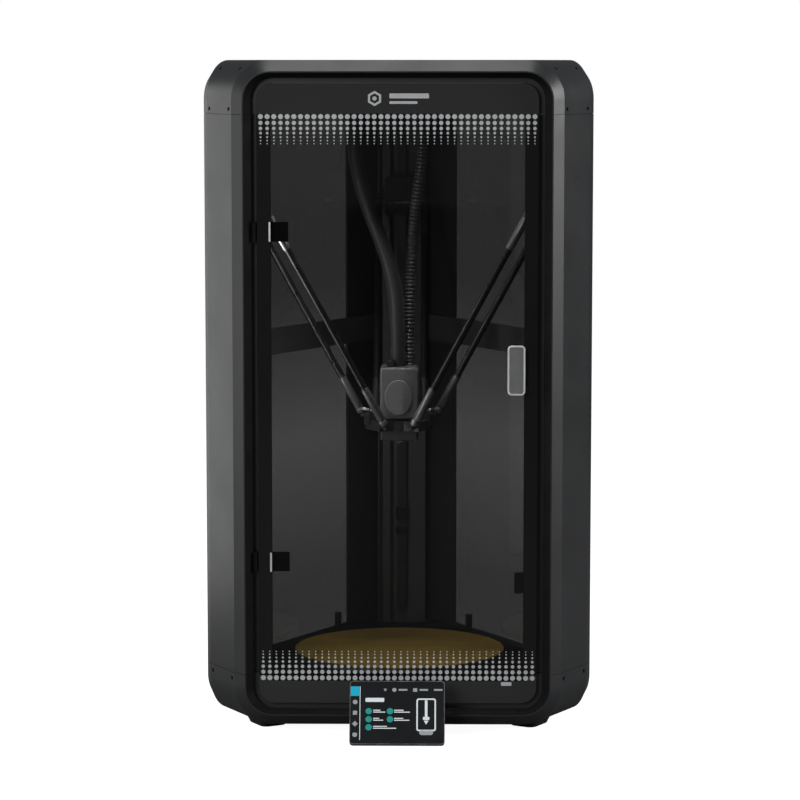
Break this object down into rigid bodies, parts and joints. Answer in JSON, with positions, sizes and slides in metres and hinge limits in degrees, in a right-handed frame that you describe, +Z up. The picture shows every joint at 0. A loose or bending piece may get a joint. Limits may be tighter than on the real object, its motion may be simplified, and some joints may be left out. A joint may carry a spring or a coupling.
{
  "type": "delta 3d printer",
  "caption": "Enclosed delta printer: hexagonal cabinet with a hinged glass door, print head on rod arms over a round heated bed, tilted touch screen.",
  "frame": {"origin": "centre of the footprint, on the surface that the feet stand on", "axes": "+Z up, -Y towards the door side, +X to the right seen from the door side"},
  "size_m": [0.4834, 0.4836, 0.832],
  "materials": {
    "frame_paint": "satin powder coat",
    "panel_black": "matt powder coat",
    "door_pane": "smoke tinted, polished, printed bands",
    "window_pane": "smoke tinted, polished",
    "rubber_black": "matt",
    "profile_black": "black anodised",
    "steel": "ground",
    "dark_steel": "black oxide",
    "motor_black": "matt",
    "pulley_metal": "machined",
    "carriage_black": "black anodised",
    "arm_black": "pultruded carbon rod",
    "plastic_black": "fine texture",
    "badge_black": "satin",
    "plate_gold": "textured gold coating",
    "bed_metal": "machined",
    "insulation": "foam",
    "supply_case": "plain",
    "board_green": "solder mask",
    "screen_glass": "polished",
    "bezel_bright": "polished",
    "grip_grey": "satin",
    "hot_block": "silicone sock",
    "nozzle_brass": "machined",
    "sleeve_fabric": "braided",
    "hose_rubber": "ribbed"
  },
  "bodies": {
    "frame": {"bottom_frame": "frame_paint", "top_frame": "frame_paint", "column_front_left": "frame_paint", "column_front_right": "frame_paint", "column_rear": "frame_paint", "base_pan": "panel_black", "base_deck": "panel_black", "roof_cover": "frame_paint", "ceiling_panel": "panel_black", "side_window_left": "window_pane", "side_window_right": "window_pane", "window_clips": "plastic_black", "brace_left": "panel_black", "brace_right": "panel_black", "feet": "rubber_black", "tower_profiles": "profile_black", "linear_rails": "steel", "drive_motors": "motor_black", "drive_belts": "rubber_black", "idler_axles": "steel", "heated_bed": "bed_metal", "bed_insulation": "insulation", "build_plate": "plate_gold", "screen_bracket": "panel_black", "screen_case": "plastic_black", "screen_glass": "screen_glass", "power_inlet": "plastic_black", "power_supply": "supply_case", "control_board": "board_green", "lower_fascia": "door_pane", "door_seal": "rubber_black", "door_catch": "plastic_black", "cable_sleeve": "sleeve_fabric", "air_hose": "hose_rubber", "hose_glands": "plastic_black", "blower_housing": "plastic_black", "frame_fasteners": "dark_steel"},
    "print_head": {"effector_plate": "carriage_black", "hotend_cover": "plastic_black", "cover_badge": "badge_black", "heater_block": "hot_block", "nozzle": "nozzle_brass"},
    "door": {"door_glass": "door_pane", "hinge_leaves": "dark_steel", "handle_bezel": "bezel_bright", "handle_grip": "grip_grey"},
    "rocker": {"power_rocker": "plastic_black"},
    "impeller": {"blower_impeller": "plastic_black"},
    "tower_carriage_front_left": {"carriage_front_left": "carriage_black", "arms_front_left": "arm_black"},
    "drive_shaft_front_left": {"drive_pulley_front_left": "pulley_metal"},
    "idler_front_left": {"idler_pulley_front_left": "pulley_metal"},
    "tower_carriage_front_right": {"carriage_front_right": "carriage_black", "arms_front_right": "arm_black"},
    "drive_shaft_front_right": {"drive_pulley_front_right": "pulley_metal"},
    "idler_front_right": {"idler_pulley_front_right": "pulley_metal"},
    "tower_carriage_rear": {"carriage_rear": "carriage_black", "arms_rear": "arm_black"},
    "drive_shaft_rear": {"drive_pulley_rear": "pulley_metal"},
    "idler_rear": {"idler_pulley_rear": "pulley_metal"}
  },
  "joints": [
    {"name": "head_lift", "type": "slide", "parent": "frame", "child": "print_head", "axis": [0, 0, 1], "range_m": [-0.2615, 0.09], "deforming": ["cable_sleeve", "air_hose"]},
    {"name": "door_swing", "type": "hinge", "parent": "frame", "child": "door", "pos_m": [-0.1755, -0.17526, 0.42], "axis": [0, 0, -1], "range_deg": [0, 110]},
    {"name": "rocker_tilt", "type": "hinge", "parent": "frame", "child": "rocker", "pos_m": [-0.09677, 0.12952, 0.051], "axis": [-0.5, -0.866, 0], "range_deg": [-10, 10]},
    {"name": "impeller_spin", "type": "hinge", "parent": "frame", "child": "impeller", "pos_m": [0.03, 0.0182, 0.785], "axis": [0, 0, 1], "continuous": true},
    {"name": "carriage_front_left_slide", "type": "slide", "parent": "frame", "child": "tower_carriage_front_left", "axis": [0, 0, 1], "range_m": [-0.2615, 0.09]},
    {"name": "drive_front_left_spin", "type": "hinge", "parent": "frame", "child": "drive_shaft_front_left", "pos_m": [-0.17928, -0.14129, 0.041], "axis": [-0.866, -0.5, 0], "continuous": true},
    {"name": "idler_front_left_spin", "type": "hinge", "parent": "frame", "child": "idler_front_left", "pos_m": [-0.17928, -0.14129, 0.792], "axis": [-0.866, -0.5, 0], "continuous": true},
    {"name": "carriage_front_right_slide", "type": "slide", "parent": "frame", "child": "tower_carriage_front_right", "axis": [0, 0, 1], "range_m": [-0.2615, 0.09]},
    {"name": "drive_front_right_spin", "type": "hinge", "parent": "frame", "child": "drive_shaft_front_right", "pos_m": [0.20178, -0.10232, 0.041], "axis": [0.866, -0.5, 0], "continuous": true},
    {"name": "idler_front_right_spin", "type": "hinge", "parent": "frame", "child": "idler_front_right", "pos_m": [0.20178, -0.10232, 0.792], "axis": [0.866, -0.5, 0], "continuous": true},
    {"name": "carriage_rear_slide", "type": "slide", "parent": "frame", "child": "tower_carriage_rear", "axis": [0, 0, 1], "range_m": [-0.2615, 0.09]},
    {"name": "drive_rear_spin", "type": "hinge", "parent": "frame", "child": "drive_shaft_rear", "pos_m": [-0.0225, 0.2082, 0.041], "axis": [0, 1, 0], "continuous": true},
    {"name": "idler_rear_spin", "type": "hinge", "parent": "frame", "child": "idler_rear", "pos_m": [-0.0225, 0.2082, 0.792], "axis": [0, 1, 0], "continuous": true}
  ],
  "couplings": [
    {"joint": "carriage_front_left_slide", "follows": "head_lift", "ratio": 1},
    {"joint": "drive_front_left_spin", "follows": "head_lift", "rad_per_m": -135.14},
    {"joint": "idler_front_left_spin", "follows": "head_lift", "rad_per_m": -135.14},
    {"joint": "carriage_front_right_slide", "follows": "head_lift", "ratio": 1},
    {"joint": "drive_front_right_spin", "follows": "head_lift", "rad_per_m": -135.14},
    {"joint": "idler_front_right_spin", "follows": "head_lift", "rad_per_m": -135.14},
    {"joint": "carriage_rear_slide", "follows": "head_lift", "ratio": 1},
    {"joint": "drive_rear_spin", "follows": "head_lift", "rad_per_m": -135.14},
    {"joint": "idler_rear_spin", "follows": "head_lift", "rad_per_m": -135.14}
  ]
}
